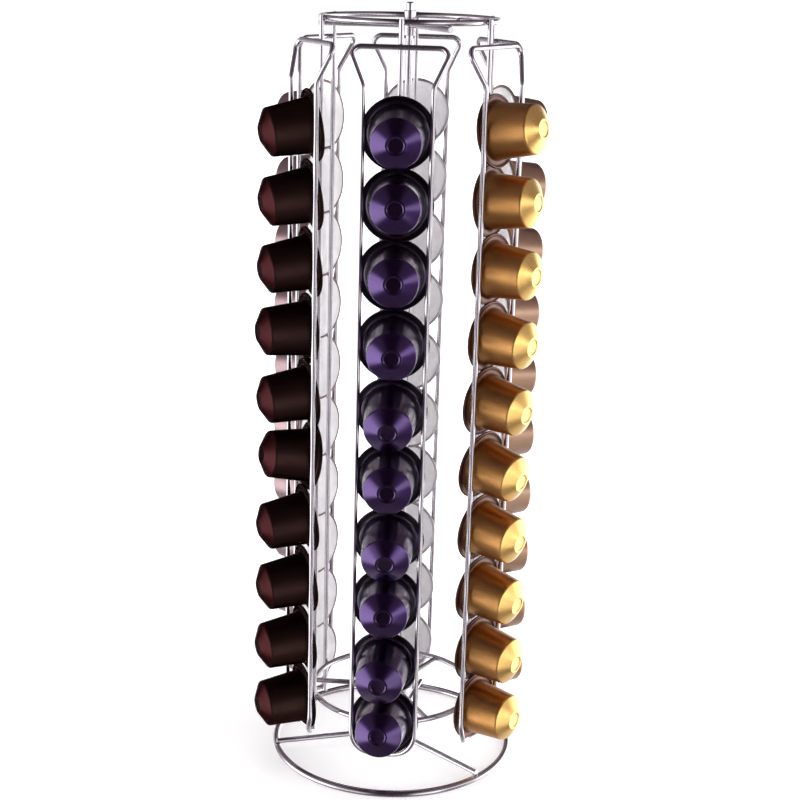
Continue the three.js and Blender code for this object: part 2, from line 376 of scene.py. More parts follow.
def chromeMaterial():
    look = chromeLook
    material, tree, shader = shaderTree("brightChrome")
    place = tree.nodes.new("ShaderNodeTexCoord")
    smudge, scratch = addMarks(tree, place.outputs["Object"], look)
    haze = remap(tree, smudge, *look["hazeFrom"], 0, 1)
    tree.links.new(mixColor(tree, haze, look["color"], look["haze"]), shader.inputs["Base Color"])
    shader.inputs["Metallic"].default_value = 1
    gloss = mathNode(tree, "MULTIPLY", scratch, look["scratchShare"])
    gloss = mathNode(tree, "MULTIPLY_ADD", smudge, look["smudgeShare"], gloss)
    tree.links.new(remap(tree, gloss, *look["polishFrom"], *look["polish"]), shader.inputs["Roughness"])
    bump(tree, scratch, look["relief"], shader)
    return material


# Turned steel of the hub plate, washer and collar, with grooves round the pole
steelLook = {"light": (0.64, 0.64, 0.65), "dark": (0.50, 0.50, 0.52), "toneFrom": (0.35, 0.7),
             "rough": (0.24, 0.42), "roughFrom": (0.3, 0.75), "grooves": 18000, "grooveShade": 0.06,
             "smudges": 90, "scratches": 1600, "relief": (0.12, 0.00005)}


def steelMaterial():
    look = steelLook
    material, tree, shader = shaderTree("turnedSteel")
    place = tree.nodes.new("ShaderNodeTexCoord")
    split = tree.nodes.new("ShaderNodeSeparateXYZ")
    tree.links.new(place.outputs["Object"], split.inputs["Vector"])
    squares = [mathNode(tree, "MULTIPLY", split.outputs[axis], split.outputs[axis]) for axis in "XY"]
    radius = mathNode(tree, "SQRT", mathNode(tree, "ADD", *squares))
    groove = mathNode(tree, "SINE", mathNode(tree, "MULTIPLY", radius, look["grooves"]))
    smudge, scratch = addMarks(tree, place.outputs["Object"], look)
    tone = mathNode(tree, "MULTIPLY_ADD", groove, look["grooveShade"], smudge)
    shade = remap(tree, tone, *look["toneFrom"], 0, 1)
    tree.links.new(mixColor(tree, shade, look["dark"], look["light"]), shader.inputs["Base Color"])
    shader.inputs["Metallic"].default_value = 1
    tree.links.new(remap(tree, tone, *look["roughFrom"], *look["rough"]), shader.inputs["Roughness"])
    bump(tree, mathNode(tree, "ADD", groove, scratch), look["relief"], shader)
    return material


chrome = chromeMaterial()
steel = steelMaterial()
print("metals ready")

# Radii of the wires and of the rings they form, in millimetres, and how finely they are drawn
wires = {"ring": 1.5, "rings": 45.1, "spoke": 1.4, "back": 1.3, "backRadius": 48.2, "rack": 1.3, "base": 1.9,
         "baseRing": 66, "leg": 1.5, "sides": 20, "ringSteps": 120}
cutEnd = {"length": 0.5, "near": 0.35, "sizes": [0.72, 0.92, 1.0]}  # shares of the wire's radius


def pathCurve(name, points, closed, blunt):
    # A wire's centre line. Open wires get a slightly rounded cut end.
    curve = bpy.data.curves.new(name, "CURVE")
    curve.dimensions = "3D"
    path, radii = [Vector(point) for point in points], [1.0] * len(points)
    if not closed:
        first, last = (path[1] - path[0]).normalized(), (path[-2] - path[-1]).normalized()
        head = [path[0], path[0] + first * blunt * cutEnd["near"], path[0] + first * blunt]
        tail = [path[-1] + last * blunt, path[-1] + last * blunt * cutEnd["near"], path[-1]]
        path = head + path[1:-1] + tail
        radii = cutEnd["sizes"] + radii[2:] + cutEnd["sizes"][::-1]
    spline = curve.splines.new("POLY")
    spline.points.add(len(path) - 1)
    for point, place, radius in zip(spline.points, path, radii):
        point.co = (*[mm * part for part in place], 1)
        point.radius = radius
    spline.use_cyclic_u = closed
    return linkObject(bpy.data.objects.new(name, curve))


def wirePiece(name, points, radius, body, nodes, closed=False):
    obj = pathCurve(name + "Path", points, closed, radius * cutEnd["length"])
    mesh = runTree(obj, roundWire, {"Radius": radius * mm, "Sides": wires["sides"], "Material": chrome})
    return meshPiece(name, mesh, chrome, body, nodes)


def ringPoints(radius, height):
    steps = wires["ringSteps"]
    return [turned(360 * step / steps, (0, -radius, height)) for step in range(steps)]


def ringPiece(name, radius, height, wire, body, node):
    wirePiece(name, ringPoints(radius, height), wire, body, [node], True)


lowerHeight, upperHeight = middle("lower_ring"), middle("upper_ring")
ringPiece("lowerRing", wires["rings"], lowerHeight, wires["ring"], "carousel", "lower_ring")
ringPiece("upperRing", wires["rings"], upperHeight, wires["ring"], "carousel", "upper_ring")
ringPiece("baseRing", wires["baseRing"], wires["base"], wires["base"], "base", "base_ring")

# Three legs and three pairs of spokes: degrees anticlockwise from the front, and their ends in millimetres
baseLegs = {"first": -70.5, "count": 3, "inner": 5.6, "outer": 66.6}
spokes = {"first": 30, "count": 3, "hub": 11.3, "rim": 43.6, "sleeve": 3, "over": 46.4}
legHeight, upperSpokeHeight = middle("base_leg_1"), middle("upper_spoke_1")


def turnsOf(entry):
    return [entry["first"] + 360 * number / entry["count"] for number in range(entry["count"])]


def straightWire(name, degrees, inner, outer, height, radius, body, node):
    points = [turned(degrees, (0, -inner, height)), turned(degrees, (0, -outer, height))]
    wirePiece(name, points, radius, body, [node])


for number, turn in enumerate(turnsOf(baseLegs), 1):
    straightWire(f"baseLeg{number}", turn, baseLegs["inner"], baseLegs["outer"], legHeight, wires["leg"],
                 "base", f"base_leg_{number}")
for number, turn in enumerate(turnsOf(spokes), 1):
    straightWire(f"lowerSpoke{number}", turn, spokes["hub"], spokes["rim"], lowerHeight, wires["spoke"],
                 "carousel", f"lower_spoke_{number}")
    straightWire(f"upperSpoke{number}", turn, spokes["sleeve"], spokes["over"], upperSpokeHeight,
                 wires["spoke"], "carousel", f"upper_spoke_{number}")
print("rings, legs and spokes made")

# One bent wire loop, in millimetres: cradle, two side wires, two flared arms and a bar. cradleBend is the
# power by which the cradle bends inwards.
rackShape = {"half": 17, "side": 57.6, "bar": 51.1, "barHalf": 25.2, "barBend": 4.2, "flareBend": 7.5,
             "cradleBend": 4, "flareRise": 4.2, "cradleSteps": 40, "bendSteps": 10}
cradleBottom = span("rack_violet")[0] + wires["rack"]
barHeight = span("rack_violet")[1] - wires["rack"]
cradleCenter = cradleBottom + rackShape["half"]
flareHeight = span("capsule_violet_1")[1] + rackShape["flareRise"]


def rackPoints():
    shape, half = rackShape, []
    for step in range(shape["cradleSteps"] + 1):
        angle = pi / 2 * step / shape["cradleSteps"]
        inward = (shape["side"] - shape["bar"]) * math.cos(angle) ** shape["cradleBend"]
        half.append(Vector((shape["half"] * math.sin(angle), inward - shape["side"],
                            cradleCenter - shape["half"] * math.cos(angle))))
    side = half[-1]
    flare = Vector((shape["half"], -shape["side"], flareHeight))
    corner = Vector((shape["barHalf"], -shape["bar"], barHeight))
    center = Vector((0, -shape["bar"], barHeight))
    half += bend(side, flare, corner, shape["flareBend"], shape["bendSteps"])
    half += bend(flare, corner, center, shape["barBend"], shape["bendSteps"])
    return half + [Vector((-p.x, p.y, p.z)) for p in reversed(half[1:])]


# One column each 60 degrees, anticlockwise from the front. From the top capsule down, in degrees: tilt is
# nose down and yaw is anticlockwise. "over" lists the capsules whose upper neighbour's rim is in front.
columns = {
    "violet": {"turn": 0, "over": [2, 3, 10], "tilt": [5.5, -4, -1, 2, 9, 0.5, 8.5, -3.5, 2, -9],
               "yaw": [2.8, 3, 4, 3.4, 1.5, 3, 1.5, 1.6, -2, -2]},
    "gold": {"turn": 60, "over": [2], "tilt": [-7, -3, 1, 3, 5, 8, 6, 6, 4, 0],
             "yaw": [0, 3, -1, -2, -4, -5, -4, -4, -3, -3]},
    "caramel": {"turn": 120, "over": [], "tilt": [5.5, 2, 4, 2.5, 5, 2, 3, 4, 2.5, 2.5],
                "yaw": [2.8, 2, 1, 2, 1, 0, 1, -1, -1, 0]},
    "silver": {"turn": 180, "over": [], "tilt": [5.5, 2.5, 2, 3, 5, 2, 3, 2.5, 4, 2.5],
               "yaw": [-2.8, -1, 1, 2, 0, 1, 0, -1, 0, -1]},
    "rose": {"turn": 240, "over": [], "tilt": [5.5, 5, 3, 2, 4, 2.5, 5, 3, 2, 2.5],
             "yaw": [2.8, 2, 2, 1, 2, 0, 1, 0, -1, -1]},
    "cocoa": {"turn": 300, "over": [6], "tilt": [8.5, 8, 7.5, 1.5, 6, -7, 7, 6, 5, 4],
              "yaw": [-5, -5, -4, -4, -4, -3, -3, -3, -2, -2]},
}

for column, entry in columns.items():
    turn = entry["turn"]
    label = column.capitalize()
    low, high = span(f"back_wire_{column}")
    points = [turned(turn, (0, -wires["backRadius"], height)) for height in (low, high)]
    wirePiece("backWire" + label, points, wires["back"], "carousel", [f"back_wire_{column}"])
    points = [turned(turn, point) for point in rackPoints()]
    wirePiece("rack" + label, points, wires["rack"], "carousel", [f"rack_{column}"], True)
print("racks made")

# Turned pieces on the pole: outer radius, bore radius and edge rounding in millimetres
hubs = {
    "centerPole": {"node": "center_pole", "outer": 1.9, "bore": 0, "edge": 0.7, "body": "base"},
    "baseHub": {"node": "base_hub", "outer": 5.6, "bore": 2.2, "edge": 0.64, "body": "base"},
    "stopCollar": {"node": "stop_collar", "outer": 4.2, "bore": 2.2, "edge": 0.4, "body": "base"},
    "thrustWasher": {"node": "thrust_washer", "outer": 5.2, "bore": 2.2, "edge": 0.16, "body": "base"},
    "lowerHub": {"node": "lower_hub", "outer": 11.3, "bore": 2.2, "edge": 0.32, "body": "carousel"},
    "upperSleeve": {"node": "upper_sleeve", "outer": 3, "bore": 2.2, "edge": 0.32, "body": "carousel"},
}
brushed = ["stopCollar", "thrustWasher", "lowerHub"]
turning = {"edgeSteps": 5, "count": 64}


def turnedPiece(name, entry):
    low, high = span(entry["node"])
    outer, bore, edge = entry["outer"], entry["bore"], entry["edge"]
    if bore:
        corners = [(bore, low, 0), (outer, low, edge), (outer, high, edge), (bore, high, 0), (bore, low, 0)]
    else:
        corners = [(0, low, 0), (outer, low, 0), (outer, high, edge), (0, high, 0)]
    mesh = latheMesh(name, softProfile(corners, turning["edgeSteps"]), turning["count"])
    material, slot = (steel, "brushed_steel") if name in brushed else (chrome, "chrome_wire")
    return meshPiece(name, mesh, material, entry["body"], [entry["node"]])


for name, entry in hubs.items():
    turnedPiece(name, entry)
print("hubs made")

# A capsule, in millimetres. Distances along its axis are measured from the foil lid to the nose.
capsule = {"flange": 18.5, "rim": 0.6, "rimLift": 0.02, "rimArc": (-145, 160, 16), "web": 0.7, "body": 14.4,
           "bodyRound": 1.6, "shoulder": 12.4, "shoulderAt": 23.6, "shoulderRound": 1.6, "nose": 5.0,
           "length": 27.8, "noseRound": 0.8, "lip": 4.2, "lipRound": 0.3, "recess": 3.7, "recessDepth": 0.4,
           "recessDome": 0.05, "cornerSteps": 8, "count": 64}
# Its lid. The dome's steps are shares of the pressed ring's radius and of the dome's depth.
lid = {"gap": 0.25, "lift": 0.01, "radius": 17.1, "edge": 0.1, "edgeIn": 0.3, "landDrop": 0.18, "dome": 0.4,
       "domeRim": 0.1, "domeSteps": [(0.25, 0.95), (0.5, 0.8), (0.7, 0.55), (0.85, 0.3)], "pressRing": 13.4,
       "ringHalf": 0.5, "ringDrop": 0.16, "ringHeight": 0.12}


def cupProfile():
    # Rolled rim, thin web, drawn wall, rounded shoulder, cone and a sunk nose
    c = capsule
    rimAt = (c["flange"] - c["rim"], c["rim"] + c["rimLift"])
    rim = [(0, lid["gap"])] + arc(rimAt, c["rim"], *c["rimArc"])
    floor = c["length"] - c["recessDepth"]
    corners = [(*rim[-1], 0), (c["body"], c["web"], c["bodyRound"]),
               (c["shoulder"], c["shoulderAt"], c["shoulderRound"]), (c["nose"], c["length"], c["noseRound"]),
               (c["lip"], c["length"], c["lipRound"]), (c["recess"], floor, c["lipRound"]),
               (0, floor - c["recessDome"], 0)]
    return rim[:-1] + softProfile(corners, c["cornerSteps"])


def lidProfile():
    # Domed skin, pressed ring, flat land and the cut edge
    top, ring, radius = lid["gap"] + lid["lift"], lid["pressRing"], lid["radius"]
    profile = [(0, top - lid["dome"])]
    for share, drop in lid["domeSteps"]:
        profile.append((ring * share, top - lid["domeRim"] - (lid["dome"] - lid["domeRim"]) * drop))
    low = top - lid["ringDrop"]
    profile += [(ring - lid["ringHalf"], low), (ring, low + lid["ringHeight"]), (ring + lid["ringHalf"], low)]
    return profile + [(radius - lid["edgeIn"], top - lid["landDrop"]), (radius, top - lid["edge"]),
                      (radius, top), (0, top)]


def shareAt(profile, radius, height):
    # Where along the profile's run a point lies
    run, found, best = 0.0, 0.0, 1e9
    for (r0, h0), (r1, h1) in zip(profile, profile[1:]):
        run += math.hypot(r1 - r0, h1 - h0)
        gap = math.hypot(r1 - radius, h1 - height)
        if gap < best:
            best, found = gap, run
    return found / run


cup = cupProfile()
zones = {"wall": shareAt(cup, capsule["body"], capsule["web"] + capsule["bodyRound"]),
         "shoulder": shareAt(cup, capsule["shoulder"], capsule["shoulderAt"]),
         "recess": shareAt(cup, capsule["recess"], capsule["length"] - capsule["recessDepth"])}

# Lacquer colours of a capsule's flange, drawn wall, nose cone and sunk nose, how glassy it is, how rough its
# wall and cone are, and the tint of its reflections at a low angle where that isn't white. Each flange colour
# is the lacquer's hue darkened below its wall: painted shade where the rims of neighbouring capsules lap.
# The gold, silver and rose cones are lighter than their walls: partly their own colour, partly a painted
# highlight.
lacquers = {
    "violet": {"flange": (0.022, 0.014, 0.028), "wall": (0.058, 0.026, 0.105), "cone": (0.046, 0.013, 0.108),
               "disc": (0.040, 0.014, 0.075), "glassy": 0.8, "rough": (0.34, 0.24)},
    "gold": {"flange": (0.12, 0.060, 0.044), "wall": (0.57, 0.28, 0.085), "cone": (0.93, 0.60, 0.19),
             "disc": (0.76, 0.40, 0.15), "glassy": 0.15, "rough": (0.43, 0.30)},
    "caramel": {"flange": (0.32, 0.22, 0.17), "wall": (0.48, 0.30, 0.20), "cone": (0.40, 0.20, 0.09),
                "disc": (0.55, 0.36, 0.25), "glassy": 0.4, "rough": (0.42, 0.32)},
    "silver": {"flange": (0.52, 0.50, 0.53), "wall": (0.56, 0.54, 0.57), "cone": (0.64, 0.62, 0.65),
               "disc": (0.50, 0.48, 0.51), "glassy": 0.2, "rough": (0.40, 0.32)},
    "rose": {"flange": (0.30, 0.21, 0.22), "wall": (0.32, 0.22, 0.23), "cone": (0.38, 0.27, 0.28),
             "disc": (0.12, 0.075, 0.075), "glassy": 0.2, "rough": (0.40, 0.32)},
    "cocoa": {"flange": (0.036, 0.021, 0.020), "wall": (0.046, 0.022, 0.019), "cone": (0.038, 0.0108, 0.012),
              "disc": (0.026, 0.010, 0.011), "glassy": 0.04, "rough": (0.48, 0.36),
              "edge": (0.30, 0.18, 0.18)},
}
# What the lacquers share. The reaches are shares of the profile's run from the lid to the nose.
lacquerLook = {"glassRough": 0.14, "wallGlass": 1.1, "wallReach": 0.03, "coneReach": (0.010, 0.012),
               "discReach": (0.012, 0.004), "lineFrom": (0.3, 0.7), "lineDepth": 0.3,
               "lineShade": (0.62, 0.6, 0.6), "toneDepth": 0.5, "toneShade": (0.8, 0.78, 0.8),
               "wear": (1.6, 1.5, 1.5), "wearReach": (0.004, 0.02), "wearFrom": (0.45, 0.65),
               "wearDepth": 0.5, "roughFrom": (0.35, 0.7), "roughSpread": 0.05, "smudges": 110,
               "scratches": 1500, "scratchDepth": 0.25, "relief": (0.10, 0.0003)}
drawing = {"size": 38, "detail": 3, "along": 0.35}


def drawnLines(tree, uv):
    # Fine marks along the wall from deep drawing, closed around the axis
    split = tree.nodes.new("ShaderNodeSeparateXYZ")
    tree.links.new(uv, split.inputs["Vector"])
    angle = mathNode(tree, "MULTIPLY", split.outputs["X"], 2 * pi)
    ring = tree.nodes.new("ShaderNodeCombineXYZ")
    tree.links.new(mathNode(tree, "COSINE", angle), ring.inputs["X"])
    tree.links.new(mathNode(tree, "SINE", angle), ring.inputs["Y"])
    tree.links.new(mathNode(tree, "MULTIPLY", split.outputs["Y"], drawing["along"]), ring.inputs["Z"])
    lines = tree.nodes.new("ShaderNodeTexNoise")
    lines.inputs["Scale"].default_value = drawing["size"]
    lines.inputs["Detail"].default_value = drawing["detail"]
    tree.links.new(ring.outputs["Vector"], lines.inputs["Vector"])
    return lines.outputs["Fac"], split.outputs["Y"]


def lacquerMaterial(name, colors):
    # Lacquered drawn aluminium with a pressed cone, lighter partly as a painted highlight, and light wear on
    # its shoulder
    look = lacquerLook
    material, tree, shader = shaderTree(name + "Lacquer")
    place = tree.nodes.new("ShaderNodeTexCoord")
    uv = tree.nodes.new("ShaderNodeUVMap")
    uv.uv_map = "finish"
    lines, along = drawnLines(tree, uv.outputs["UV"])
    smudge, scratch = addMarks(tree, place.outputs["Object"], look)
    wall = remap(tree, along, zones["wall"] - look["wallReach"], zones["wall"] + look["wallReach"], 0, 1)
    before, after = look["coneReach"]
    cone = remap(tree, along, zones["shoulder"] - before, zones["shoulder"] + after, 0, 1)
    first, last = look["discReach"]
    disc = remap(tree, along, zones["recess"] - first, zones["recess"] - last, 0, 1)
    # The flange colour, blending into the foot of the wall, is darkened as painted shade where neighbouring
    # rims lap
    base = mixColor(tree, wall, colors["flange"], colors["wall"])
    # The cone colour is, where lighter than the wall, partly a painted highlight
    base = mixColor(tree, cone, base, colors["cone"])
    base = mixColor(tree, disc, base, colors["disc"])
    drawn = remap(tree, lines, *look["lineFrom"], 0.0, look["lineDepth"])
    base = mixColor(tree, drawn, base, look["lineShade"], "MULTIPLY")
    tone = tree.nodes.new("ShaderNodeAttribute")
    tone.attribute_name = "tone"
    darker = mathNode(tree, "MULTIPLY", tone.outputs["Fac"], look["toneDepth"])
    base = mixColor(tree, darker, base, look["toneShade"], "MULTIPLY")
    edge = mathNode(tree, "ABSOLUTE", mathNode(tree, "SUBTRACT", along, zones["shoulder"]))
    near, patchy = remap(tree, edge, *look["wearReach"], 1, 0), remap(tree, smudge, *look["wearFrom"], 0, 1)
    worn = mathNode(tree, "MULTIPLY", mathNode(tree, "MULTIPLY", near, patchy), look["wearDepth"])
    base = mixColor(tree, worn, base, look["wear"], "MULTIPLY")
    tree.links.new(base, shader.inputs["Base Color"])
    shader.inputs["Metallic"].default_value = 1
    uneven = remap(tree, smudge, *look["roughFrom"], -1, 1)
    rough = remap(tree, cone, 0, 1, *colors["rough"])
    rough = mathNode(tree, "MULTIPLY_ADD", uneven, look["roughSpread"], rough)
    tree.links.new(rough, shader.inputs["Roughness"])
    glassy = colors["glassy"]
    tree.links.new(remap(tree, cone, 0, 1, glassy * look["wallGlass"], glassy), shader.inputs["Coat Weight"])
    shader.inputs["Coat Roughness"].default_value = look["glassRough"]
    shader.inputs["Specular Tint"].default_value = (*colors.get("edge", (1, 1, 1)), 1)
    height = mathNode(tree, "MULTIPLY_ADD", scratch, look["scratchDepth"], lines)
    bump(tree, height, look["relief"], shader)
    return material


# Bare foil lid: satin, with soft crinkles
lidLook = {"color": (0.94, 0.925, 0.935), "shade": (0.84, 0.82, 0.84), "metal": 0.3, "rough": (0.42, 0.56),
           "smudgeFrom": (0.35, 0.7), "smudges": 130, "crinkle": 240, "relief": (0.12, 0.0005)}


def lidMaterial():
    look = lidLook
    material, tree, shader = shaderTree("foilLid")
    place = tree.nodes.new("ShaderNodeTexCoord")
    smudge = addMarks(tree, place.outputs["Object"], look)[0]
    shade = remap(tree, smudge, *look["smudgeFrom"], 0, 1)
    tree.links.new(mixColor(tree, shade, look["color"], look["shade"]), shader.inputs["Base Color"])
    shader.inputs["Metallic"].default_value = look["metal"]
    tree.links.new(remap(tree, smudge, *look["smudgeFrom"], *look["rough"]), shader.inputs["Roughness"])
    crinkle = tree.nodes.new("ShaderNodeTexVoronoi")
    crinkle.inputs["Scale"].default_value = look["crinkle"]
    tree.links.new(place.outputs["Object"], crinkle.inputs["Vector"])
    bump(tree, mathNode(tree, "ADD", crinkle.outputs["Distance"], smudge), look["relief"], shader)
    return material


foil = lidMaterial()
lacquer = {name: lacquerMaterial(name, colors) for name, colors in lacquers.items()}
print("capsule finishes ready")

# How the capsules stand, in millimetres: how two rims lap, where a flange meets its side wires, and how far
# each strays sideways. The CAD's box limits a column along an axis that it faces by more than "facing".
standing = {"lap": 1.3, "lapArm": 17.35, "clear": 0.15, "gripAcross": 15.7, "gripAbove": 9.8, "facing": 0.4,
            "shift": 0.2, "shiftTurn": 2.3, "toneTurn": 1.7}
groupNodes = {"capsule_{}_1": 1, "capsules_{}_2_to_3": 2, "capsules_{}_4_to_5": 2, "capsules_{}_6_to_7": 2,
              "capsules_{}_8_to_10": 3}


def capsuleHeights(column):
    # Lid centre heights, read from the capsule groups of the frame
    heights = []
    for node, count in groupNodes.items():
        low, high = span(node.format(column))
        first, last = high - capsule["flange"], low + capsule["flange"]
        for order in range(count):
            heights.append(first + (last - first) * order / max(count - 1, 1))
    return heights


def farthest(turn, tilt, yaw):
    # Lid centre's distance from the pole where the flange meets the side wires and the nose its limit
    grip = standing["gripAbove"] * abs(math.sin(tilt)) + standing["gripAcross"] * abs(math.sin(yaw))
    side = rackShape["side"] - wires["rack"] - standing["clear"] - 2 * capsule["rim"] - grip
    limits, bay, aim = [side], math.radians(turn), math.radians(turn) + yaw
    east, north = abs(math.sin(aim)), abs(math.cos(aim))
    for axis, share, along, across in ((0, abs(math.sin(bay)), east, north),
                                       (1, abs(math.cos(bay)), north, east)):
        if share > standing["facing"]:
            room = cadBounds[1][axis] / mm - standing["clear"]
            for length, radius in (("length", "nose"), ("shoulderAt", "shoulder")):
                limits.append((room - capsule[length] * along - capsule[radius] * across) / share)
    return min(limits)


def capsuleSpots(column):
    # Each lid centre and how the capsule leans, from the top down, as far out as its neighbours' rims let it
    entry, spots = columns[column], []
    count = len(entry["tilt"])
    tilts = [math.radians(tilt) for tilt in entry["tilt"]]
    yaws = [math.radians(yaw) for yaw in entry["yaw"]]
    reach = [farthest(entry["turn"], tilt, yaw) for tilt, yaw in zip(tilts, yaws)]
    for _ in tilts:
        for upper in range(count - 1):
            lower = upper + 1
            lean = standing["lapArm"] * (math.tan(tilts[upper]) + math.tan(tilts[lower]))
            if lower + 1 in entry["over"]:
                reach[lower] = min(reach[lower], reach[upper] - lean - standing["lap"])
            else:
                reach[upper] = min(reach[upper], reach[lower] + lean - standing["lap"])
    for number, height in enumerate(capsuleHeights(column)):
        shift = standing["shift"] * math.sin(standing["shiftTurn"] * number + entry["turn"])
        tone = 0.5 + 0.5 * math.sin(standing["toneTurn"] * number + 2 * entry["turn"])
        spots.append({"at": turned(entry["turn"], (shift, -reach[number], height)), "tone": tone,
                      "turn": (tilts[number], 0, math.radians(entry["turn"]) + yaws[number])})
    print(column, "lids at", [round(value, 1) for value in reach])
    return spots


def spotMesh(name, spots):
    mesh = bpy.data.meshes.new(name)
    mesh.from_pydata([tuple(mm * part for part in spot["at"]) for spot in spots], [], [])
    for label, kind, missing in (("turn", "FLOAT_VECTOR", None), ("grow", "FLOAT_VECTOR", (1, 1, 1)),
                                 ("tone", "FLOAT", 0.5)):
        layer = mesh.attributes.new(label, kind, "POINT")
        for item, spot in zip(layer.data, spots):
            setattr(item, "value" if kind == "FLOAT" else "vector", spot.get(label, missing))
    return linkObject(bpy.data.objects.new(name, mesh))


def setOutPieces(name, spots, source, material, body, nodes=()):
    mesh = runTree(spotMesh(name + "Spots", spots), setOut, {"Copy": source, "Material": material})
    return meshPiece(name, mesh, material, body, nodes)


def sourceObject(name, mesh):
    return linkObject(bpy.data.objects.new(name, mesh))


cupSource = sourceObject("cupSource", latheMesh("cupShape", cup, capsule["count"], "-Y"))
lidSource = sourceObject("lidSource", latheMesh("lidShape", lidProfile(), capsule["count"], "-Y"))
for column in columns:
    spots = capsuleSpots(column)
    label, slot = column.capitalize(), "capsule_" + column
    names = [node.format(column) for node in groupNodes]
    setOutPieces("topCup" + label, spots[:1], cupSource, lacquer[column], column + "_top", names[:1])
    setOutPieces("topLid" + label, spots[:1], lidSource, foil, column + "_top")
    setOutPieces("cups" + label, spots[1:], cupSource, lacquer[column], column + "_stack", names[1:])
    setOutPieces("lids" + label, spots[1:], lidSource, foil, column + "_stack")
bpy.data.objects.remove(cupSource)
bpy.data.objects.remove(lidSource)
print("capsules made")

# Weld beads, in millimetres: half sizes across the joint, along it and up, and how far each lies from the
# middle of its ring, bar or leg, or from the end of its spoke
welds = {"wire": (1.25, 0.55, 1.3), "cross": (1.3, 1.3, 0.5), "hub": (1.4, 0.6, 1.35),
         "foot": (1.5, 1.6, 0.5)}
weldAt = {"ring": 1.7, "bar": -1.45, "cross": 1.6, "end": 0.15, "rim": -0.1, "foot": -1.7,
          "arc": (-75, 75, 10), "count": 20}
weldShape = [(0, -1)] + arc((0, 0), 1, *weldAt["arc"]) + [(0, 1)]
weldSource = sourceObject("weldSource", latheMesh("weldShape", weldShape, weldAt["count"]))


def weldSpot(degrees, radius, height, kind):
    return {"at": turned(degrees, (0, -radius, height)), "turn": (0, 0, math.radians(degrees)),
            "grow": welds[kind]}


carouselWelds, baseWelds = [], []
for entry in columns.values():
    for height in (lowerHeight, upperHeight):
        carouselWelds.append(weldSpot(entry["turn"], wires["rings"] + weldAt["ring"], height, "wire"))
    for height in (barHeight, cradleBottom):
        carouselWelds.append(weldSpot(entry["turn"], rackShape["bar"] + weldAt["bar"], height, "wire"))
for turn in turnsOf(spokes):
    carouselWelds += [weldSpot(turn, wires["rings"], upperSpokeHeight + weldAt["cross"], "cross"),
                      weldSpot(turn, spokes["sleeve"] + weldAt["end"], upperSpokeHeight, "hub"),
                      weldSpot(turn, spokes["hub"] + weldAt["end"], lowerHeight, "hub"),
                      weldSpot(turn, spokes["rim"] + weldAt["rim"], lowerHeight, "hub")]
for turn in turnsOf(baseLegs):
    baseWelds += [weldSpot(turn, wires["baseRing"], legHeight + weldAt["foot"], "foot"),
                  weldSpot(turn, baseLegs["inner"] + weldAt["end"], legHeight, "hub")]
setOutPieces("carouselWelds", carouselWelds, weldSource, chrome, "carousel")
setOutPieces("baseWelds", baseWelds, weldSource, chrome, "base")
bpy.data.objects.remove(weldSource)
print("welds made")

# The studio. The camera sees it all white. Reflections and light see softboxes all round, a darker ceiling
# and a dimmer ground. Pairs are two levels, or where one level blends into the next: in metres from the pole
# for the floor's glow, and otherwise in parts of a direction's length.
studio = {"floorHalf": 6.0, "floor": (0.93, 0.93, 0.93), "grain": (0.91, 0.91, 0.912), "grainSize": 6,
          "floorRough": 0.8, "glow": (0.38, 1.0), "glowReach": (0.12, 0.45), "ceiling": (0.06, 0.32),
          "ceilingSide": (0.25, 0.6), "ceilingFrom": (0.10, 0.30), "eyeLevel": (-0.13, 0.03),
          "under": (0.25, 0.85), "underSide": (-0.3, 0.3), "underFrom": (-0.66, -0.46),
          "dusk": (1.0, 0.70, 0.86), "duskBelow": 0.7, "brightest": 4.0, "softer": 1.8}
# The softboxes: degrees from the front, anticlockwise, then their level near the ground and above eye height
around = [(-180, 0.7, 0.7), (-174, 0.5, 0.4), (-166, 1.3, 1.0), (-140, 1.3, 1.0), (-128, 0.5, 0.4),
          (-121, 0.5, 0.4), (-110, 1.4, 1.4), (-98, 3.0, 3.0), (-52, 3.4, 3.0), (-44, 1.3, 1.3),
          (-22, 1.1, 1.1), (-9, 0.07, 0.07), (22, 0.06, 0.06), (30, 1.6, 1.6), (50, 2.3, 2.8),
          (58, 0.35, 2.4), (80, 0.35, 2.4), (90, 1.4, 1.8), (98, 3.2, 3.4), (134, 3.2, 3.4),
          (150, 2.0, 2.0), (174, 1.8, 1.8), (180, 0.7, 0.7)]


def floorMaterial():
    # The camera sees it white, with the object's soft shadow
    material, tree, shader = shaderTree("paleFloor")
    place = tree.nodes.new("ShaderNodeTexCoord")
    grain = tree.nodes.new("ShaderNodeTexNoise")
    grain.inputs["Scale"].default_value = studio["grainSize"]
    tree.links.new(place.outputs["Object"], grain.inputs["Vector"])
    color = mixColor(tree, grain.outputs["Fac"], studio["floor"], studio["grain"])
    tree.links.new(color, shader.inputs["Base Color"])
    shader.inputs["Roughness"].default_value = studio["floorRough"]
    shader.inputs["Specular IOR Level"].default_value = 0
    path = tree.nodes.new("ShaderNodeLightPath")
    seen = mathNode(tree, "MAXIMUM", path.outputs["Is Camera Ray"], path.outputs["Is Transmission Ray"])
    reach = tree.nodes.new("ShaderNodeVectorMath")
    reach.operation = "LENGTH"
    tree.links.new(place.outputs["Object"], reach.inputs[0])
    level = remap(tree, reach.outputs["Value"], *studio["glowReach"], *studio["glow"], True)
    glow = tree.nodes.new("ShaderNodeEmission")
    tree.links.new(mathNode(tree, "MULTIPLY", seen, level), glow.inputs["Strength"])
    lit = tree.nodes.new("ShaderNodeAddShader")
    tree.links.new(shader.outputs["BSDF"], lit.inputs[0])
    tree.links.new(glow.outputs["Emission"], lit.inputs[1])
    output = next(node for node in tree.nodes if node.type == "OUTPUT_MATERIAL")
    tree.links.new(lit.outputs["Shader"], output.inputs["Surface"])
    return material


